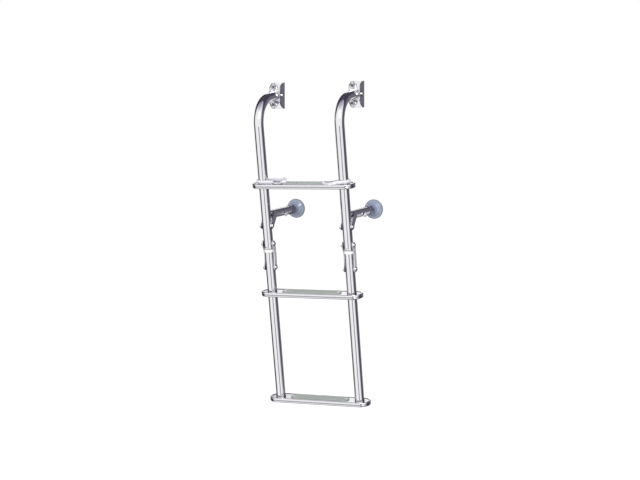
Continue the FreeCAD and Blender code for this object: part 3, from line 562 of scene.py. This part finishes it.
# Straps
class LADDER_OT_straps(bpy.types.Operator):
    """Bends each vinyl strap over its tread: the left one's front flops over, the right one slumps inward"""
    bl_idname = "ladder.straps"
    bl_label = "Straps"

    def execute(self, context):
        for side in SIDES:
            node = f"{side}_strap"
            strap = add_object(f"{side}_bent_strap", self.bent_band(side, context.scene.ladder_fittings))
            strap.data.materials.append(finish_of(node))
            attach(strap, "upper_section")
            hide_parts(node)
        return {"FINISHED"}

    def bent_band(self, side, fittings):
        """A closed band, wide round its rail and narrow at its far fold. It's drawn as for the left rail."""
        node = f"{side}_strap"
        inward = 1 if side == "left" else -1
        half_sheet = 0.8 * MM
        reaches = [inward * (reach - RAIL_ACROSS[side]) for reach in span(node, ACROSS)]
        near = -min(reaches) - half_sheet
        if side == "left":
            far, fold, bend = max(reaches) - half_sheet, fittings.left_fold, self.bend_left
        else:
            far, fold, bend = fittings.right_reach - half_sheet, fittings.right_fold, self.bend_right
        low, high = span(node, RAIL_UP)
        # the strap's section: out from the middle of its sheet, and up from its lower edge
        edge, width = half_sheet / 2, high - low
        section = (
            (0, 0), (half_sheet, edge), (half_sheet, width - edge), (0, width), (-half_sheet, width - edge),
            (-half_sheet, edge))
        mesh = bmesh.new()
        rings = []
        for spot, outward in self.teardrop(near, fold, far - fold):
            moved, lift, lean = bend(spot, outward, far, fittings)
            ring = []
            for out, up in section:
                point = moved + outward * (out * math.cos(lean) + up * math.sin(lean))
                height = low + lift + up * math.cos(lean) - out * math.sin(lean)
                across = RAIL_ACROSS[side] + inward * point.x
                back = middle(node, RAIL_BACK) + point.y
                ring.append(mesh.verts.new(ACROSS * across + RAIL_BACK * back + RAIL_UP * height))
            rings.append(ring)
        for ring, following in zip(rings, rings[1:] + rings[:1]):
            for k in range(len(section)):
                mesh.faces.new((ring[k - 1], ring[k], following[k], following[k - 1]))
        bmesh.ops.recalc_face_normals(mesh, faces=mesh.faces)
        band = bpy.data.meshes.new(node + "_bent")
        mesh.to_mesh(band)
        mesh.free()
        band.shade_smooth()
        return band

    def teardrop(self, near, fold, run):
        """Points on the band's middle line, each with its outward direction."""
        arc_steps, straight_steps = 36, 24
        lean = math.asin((near - fold) / run)
        quarter = math.pi / 2
        bight = (0, near, quarter - lean, 3 * quarter + lean)
        far_fold = (run, fold, lean - quarter, quarter - lean)
        arcs = []
        for centre, radius, first, last in (bight, far_fold):
            angles = [first + (last - first) * k / arc_steps for k in range(arc_steps + 1)]
            outwards = [Vector((math.cos(angle), math.sin(angle))) for angle in angles]
            arcs.append([(Vector((centre, 0)) + outward * radius, outward) for outward in outwards])
        outline = []
        for arc, following in (arcs, reversed(arcs)):
            start, outward = arc[-1]
            stop = following[0][0]
            outline += arc
            outline += [(start.lerp(stop, k / straight_steps), outward) for k in range(1, straight_steps)]
        return outline

    def seated(self, spot, fittings):
        """How high the band's lower edge lies above the grip insert's top, on the insert or beside it."""
        insert_end = (16 * MM, 30 * MM)
        insert_front = (-17 * MM, -11 * MM)
        loop_end = (10 * MM, 30 * MM)
        on_insert = ease(spot.x, *insert_end) * ease(spot.y, *insert_front)
        off_rail = ease(spot.x, *loop_end)
        return fittings.loop_rise * (1 - off_rail) - fittings.strap_drop * (1 - on_insert)

    def bend_left(self, spot, outward, far, fittings):
        """Where a point of the left band moves to, how far it rises and how much the band leans out there."""
        slant, draw = 0.5, 5 * MM
        curl_along = (44 * MM, far)
        curl_across = (-14 * MM, 8 * MM)
        flop_begins = (27 * MM, 36 * MM)
        flop_ends = (46 * MM, 55 * MM)
        along = ease(spot.x, 0, far - fittings.left_fold)
        skew = slant * spot.y - draw
        moved = Vector((spot.x - skew * along, spot.y - fittings.left_shift * along))
        curl = fittings.left_curl * ease(spot.x, *curl_along) * ease(moved.y, *curl_across)
        flop = 0
        if outward.y < 0:
            flop = fittings.left_flop * ease(spot.x, *flop_begins) * (1 - ease(spot.x, *flop_ends))
        return moved, self.seated(moved, fittings) + curl, flop

    def bend_right(self, spot, outward, far, fittings):
        """The same for the right band."""
        slump_along = (-4 * MM, 42 * MM)
        front_to_back = math.radians(8.5) * outward.y
        moved = spot.copy()
        if spot.y < 0:
            moved.y -= fittings.right_belly * math.sin(math.pi * min(max(spot.x / far, 0), 1))
        slump = (fittings.right_slump + front_to_back) * ease(spot.x, *slump_along)
        return moved, self.seated(moved, fittings), -slump


def ease(value, start, stop):
    """0 up to start, 1 from stop on and a smooth step between."""
    share = min(max((value - start) / (stop - start), 0), 1)
    return share * share * (3 - 2 * share)


# Studio
# The tent's walls, as the steel mirrors them: bearing in degrees from the studio's axis, and the colour there
TENT_WALLS = (
    (-180, "55505E"), (-165, "3E3A46"), (-90, "3E3A46"), (60, "4E4957"), (92, "4E4957"), (118, "74727D"),
    (150, "64606D"), (180, "55505E"),
)
# Panels before the walls, each over the ones above it. A panel has a colour and soft edges, and an edge says
# what it is measured by, where the panel starts and where it is full:
#   front  how squarely a direction points to the white front
#   rise   how high it points, from -1 straight down to 1 straight up
#   turn   its bearing in degrees from the studio's axis
#   aside  its bearing to either side of the tent's middle line
TENT_PANELS = (
    # the white front, its lavender top and the grey ceiling over it
    ("FFFFFF", (("front", -0.04, 0.45),)),
    ("B9B1C6", (("front", -0.04, 0.45), ("rise", 0.60, 0.92))),
    ("8A849A", (("front", -0.40, 0.10), ("rise", 0.92, 0.99))),
    # the dark upper walls on the left and on the right
    ("3E3A46", (("turn", -80, -100), ("rise", 0.15, 0.50))),
    ("464050", (("turn", 58, 83), ("turn", 165, 158), ("rise", 0.34, 0.60))),
    # a grey stand below the camera, which draws the line down the middle of each rail
    ("84848D", (("aside", 14, 6), ("rise", -0.20, -0.30))),
    # a white strip high behind, for the decks of the treads
    ("FFFFFF", (("aside", 170, 174), ("rise", 0.24, 0.30), ("rise", 0.52, 0.46))),
    # pale strips low behind, for the lower edges of the stand-offs
    ("E4E2E8", (("aside", 133, 139), ("aside", 172, 166), ("rise", -0.07, -0.13), ("rise", -0.21, -0.17))),
    ("E4E2E8", (("aside", 141, 146), ("aside", 172, 166), ("rise", -0.12, -0.18), ("rise", -0.34, -0.30))),
    # a pale panel behind on the left, for the sides that face away to the left
    ("D4D2DA", (("turn", -168, -160), ("turn", -138, -146), ("rise", 0.24, 0.14))),
    # the dark floor
    ("4A4152", (("rise", -0.58, -0.85),)),
)


class LADDER_OT_studio(bpy.types.Operator):
    """Sets up the floor, the soft light, the surroundings that the steel mirrors and the camera"""
    bl_idname = "ladder.studio"
    bl_label = "Studio"

    def execute(self, context):
        studio = context.scene.ladder_studio
        self.add_floor(studio)
        self.add_surroundings(context.scene, studio)
        self.add_key_lamp(studio)
        self.add_camera(context.scene, studio)
        context.scene.view_settings.view_transform = "Standard"
        return {"FINISHED"}

    def add_floor(self, studio):
        """A wide sheet of paper. It reads as white to the camera and still takes the ladder's shadow."""
        half = 30.0
        glow_to_camera = 0.35
        height = CAD_BOX[0][2] - studio.floor_drop
        corners = [(-half, -half), (half, -half), (half, half), (-half, half)]
        mesh = bpy.data.meshes.new("floor")
        mesh.from_pydata([(x, y, height) for x, y in corners], [], [(0, 1, 2, 3)])
        material, shader = new_material(
            "white_paper", Base_Color=linear("F6F6F6"), Roughness=0.9, Emission_Color=linear("FFFFFF"))
        tree = material.node_tree
        ray = add_node(tree, "ShaderNodeLightPath")
        glow = arithmetic(tree, "MULTIPLY", ray.outputs["Is Camera Ray"], glow_to_camera)
        tree.links.new(glow, shader.inputs["Emission Strength"])
        mesh.materials.append(material)
        floor = add_object("floor", mesh)
        floor.visible_glossy = False

    def add_surroundings(self, scene, studio):
        """Plain white light on all surfaces, and the tent's walls and panels in what the steel mirrors."""
        world = bpy.data.worlds.new("studio")
        world.use_nodes = True
        scene.world = world
        tree = world.node_tree
        tree.nodes.clear()
        direction = add_node(tree, "ShaderNodeTexCoord").outputs["Generated"]
        parts = add_node(tree, "ShaderNodeSeparateXYZ", [(direction, "Vector")]).outputs
        toward_front = arithmetic(tree, "MULTIPLY", parts["Y"], -1.0)
        bearing = arithmetic(tree, "ARCTAN2", parts["X"], toward_front)
        off_axis = arithmetic(tree, "SUBTRACT", bearing, studio.azimuth)
        turn = arithmetic(tree, "WRAP", off_axis, math.pi, -math.pi)
        tent_turn = math.radians(3)
        aside = arithmetic(tree, "ABSOLUTE", arithmetic(tree, "ADD", turn, tent_turn))
        white_side, white_rise = studio.azimuth + math.radians(-17), 0.24
        front = add_node(
            tree, "ShaderNodeVectorMath", [(direction, 0)], operation="DOT_PRODUCT",
            inputs={1: (math.sin(white_side), -math.cos(white_side), white_rise)}).outputs["Value"]
        round_share = add_node(
            tree, "ShaderNodeMapRange", [(turn, "Value")], inputs={"From Min": -math.pi, "From Max": math.pi})
        tent = add_ramp(
            tree, round_share.outputs["Result"],
            [((degrees + 180) / 360, linear(colour)) for degrees, colour in TENT_WALLS])
        # each measure of a direction, and how its limits become the node's own numbers
        measures = {
            "front": (front, float),
            "rise": (parts["Z"], float),
            "turn": (turn, math.radians),
            "aside": (aside, math.radians),
        }
        for colour, edges in TENT_PANELS:
            cover = 1.0
            for name, start, full in edges:
                measure, number = measures[name]
                share = self.edge(tree, measure, number(start), number(full))
                cover = arithmetic(tree, "MULTIPLY", cover, share)
            tent = add_node(
                tree, "ShaderNodeMix", [(cover, "Factor"), (tent, FIRST)], data_type="RGBA",
                inputs={SECOND: linear(colour)}).outputs[BLENDED]
        mirrored = add_node(
            tree, "ShaderNodeBackground", [(tent, "Color")], inputs={"Strength": studio.mirrored})
        plain = add_node(
            tree, "ShaderNodeBackground", inputs={"Color": linear("FFFFFF"), "Strength": studio.ambient})
        white = add_node(tree, "ShaderNodeBackground", inputs={"Color": linear("FFFFFF"), "Strength": 1.0})
        ray = add_node(tree, "ShaderNodeLightPath")
        lit = add_node(
            tree, "ShaderNodeMixShader",
            [(ray.outputs["Is Glossy Ray"], 0), (plain.outputs[0], 1), (mirrored.outputs[0], 2)])
        seen = add_node(
            tree, "ShaderNodeMixShader",
            [(ray.outputs["Is Camera Ray"], 0), (lit.outputs[0], 1), (white.outputs[0], 2)])
        add_node(tree, "ShaderNodeOutputWorld", [(seen.outputs[0], "Surface")])

    def edge(self, tree, measure, start, full):
        """A soft edge: 0 before start and 1 from full on, whichever of the two is the higher."""
        step = add_node(
            tree, "ShaderNodeMapRange", [(measure, "Value")], interpolation_type="SMOOTHSTEP",
            inputs={"From Min": start, "From Max": full})
        return step.outputs["Result"]

    def add_key_lamp(self, studio):
        """A round soft box high on the camera's right, seen in the steel as a small highlight."""
        from_aim, diameter = Vector((1.22, -2.29, 1.5)), 1.2
        lamp = bpy.data.lights.new("key_lamp", "AREA")
        lamp.energy = studio.key
        lamp.shape = "DISK"
        lamp.size = diameter
        key = bpy.data.objects.new("key_lamp", lamp)
        bpy.context.scene.collection.objects.link(key)
        key.location = Vector(studio.aim) + from_aim
        key.rotation_mode = "QUATERNION"
        key.rotation_quaternion = (-from_aim).to_track_quat("-Z", "Y")
        key.visible_camera = False

    def add_camera(self, scene, studio):
        lens = bpy.data.cameras.new("camera")
        lens.lens = studio.lens
        lens.sensor_width = 36
        camera = bpy.data.objects.new("camera", lens)
        scene.collection.objects.link(camera)
        level = math.cos(studio.height)
        away = Vector((
            math.sin(studio.azimuth) * level, -math.cos(studio.azimuth) * level, math.sin(studio.height)))
        camera.location = Vector(studio.aim) + away * studio.distance
        camera.rotation_mode = "QUATERNION"
        camera.rotation_quaternion = (-away).to_track_quat("-Z", "Y")
        lens.clip_end = 100
        scene.camera = camera


class LADDER_PT_panel(bpy.types.Panel):
    """Shows the settings for the finishes, the fittings and the studio, and a button for each step"""
    bl_idname = "LADDER_PT_panel"
    bl_label = "Swim ladder"
    bl_space_type = "VIEW_3D"
    bl_region_type = "UI"
    bl_category = "Swim ladder"

    def draw(self, context):
        layout = self.layout
        scene = context.scene
        for group in (scene.ladder_finishes, scene.ladder_fittings, scene.ladder_studio):
            box = layout.box()
            for name in group.bl_rna.properties.keys():
                if name not in ("rna_type", "name"):
                    box.prop(group, name)
        for operator in OPERATORS:
            layout.operator(operator.bl_idname)


OPERATORS = (
    LADDER_OT_finishes,
    LADDER_OT_insert_screws,
    LADDER_OT_thumbscrew_ridges,
    LADDER_OT_straps,
    LADDER_OT_studio,
)
CLASSES = (LadderFinishes, LadderFittings, LadderStudio, *OPERATORS, LADDER_PT_panel)


def register():
    for item in CLASSES:
        bpy.utils.register_class(item)
    bpy.types.Scene.ladder_finishes = PointerProperty(type=LadderFinishes)
    bpy.types.Scene.ladder_fittings = PointerProperty(type=LadderFittings)
    bpy.types.Scene.ladder_studio = PointerProperty(type=LadderStudio)


def unregister():
    del bpy.types.Scene.ladder_studio
    del bpy.types.Scene.ladder_fittings
    del bpy.types.Scene.ladder_finishes
    for item in reversed(CLASSES):
        bpy.utils.unregister_class(item)


def main():
    register()
    bpy.ops.ladder.finishes()
    bpy.ops.ladder.insert_screws()
    bpy.ops.ladder.thumbscrew_ridges()
    bpy.ops.ladder.straps()
    bpy.ops.ladder.studio()


if __name__ == "__main__":
    main()
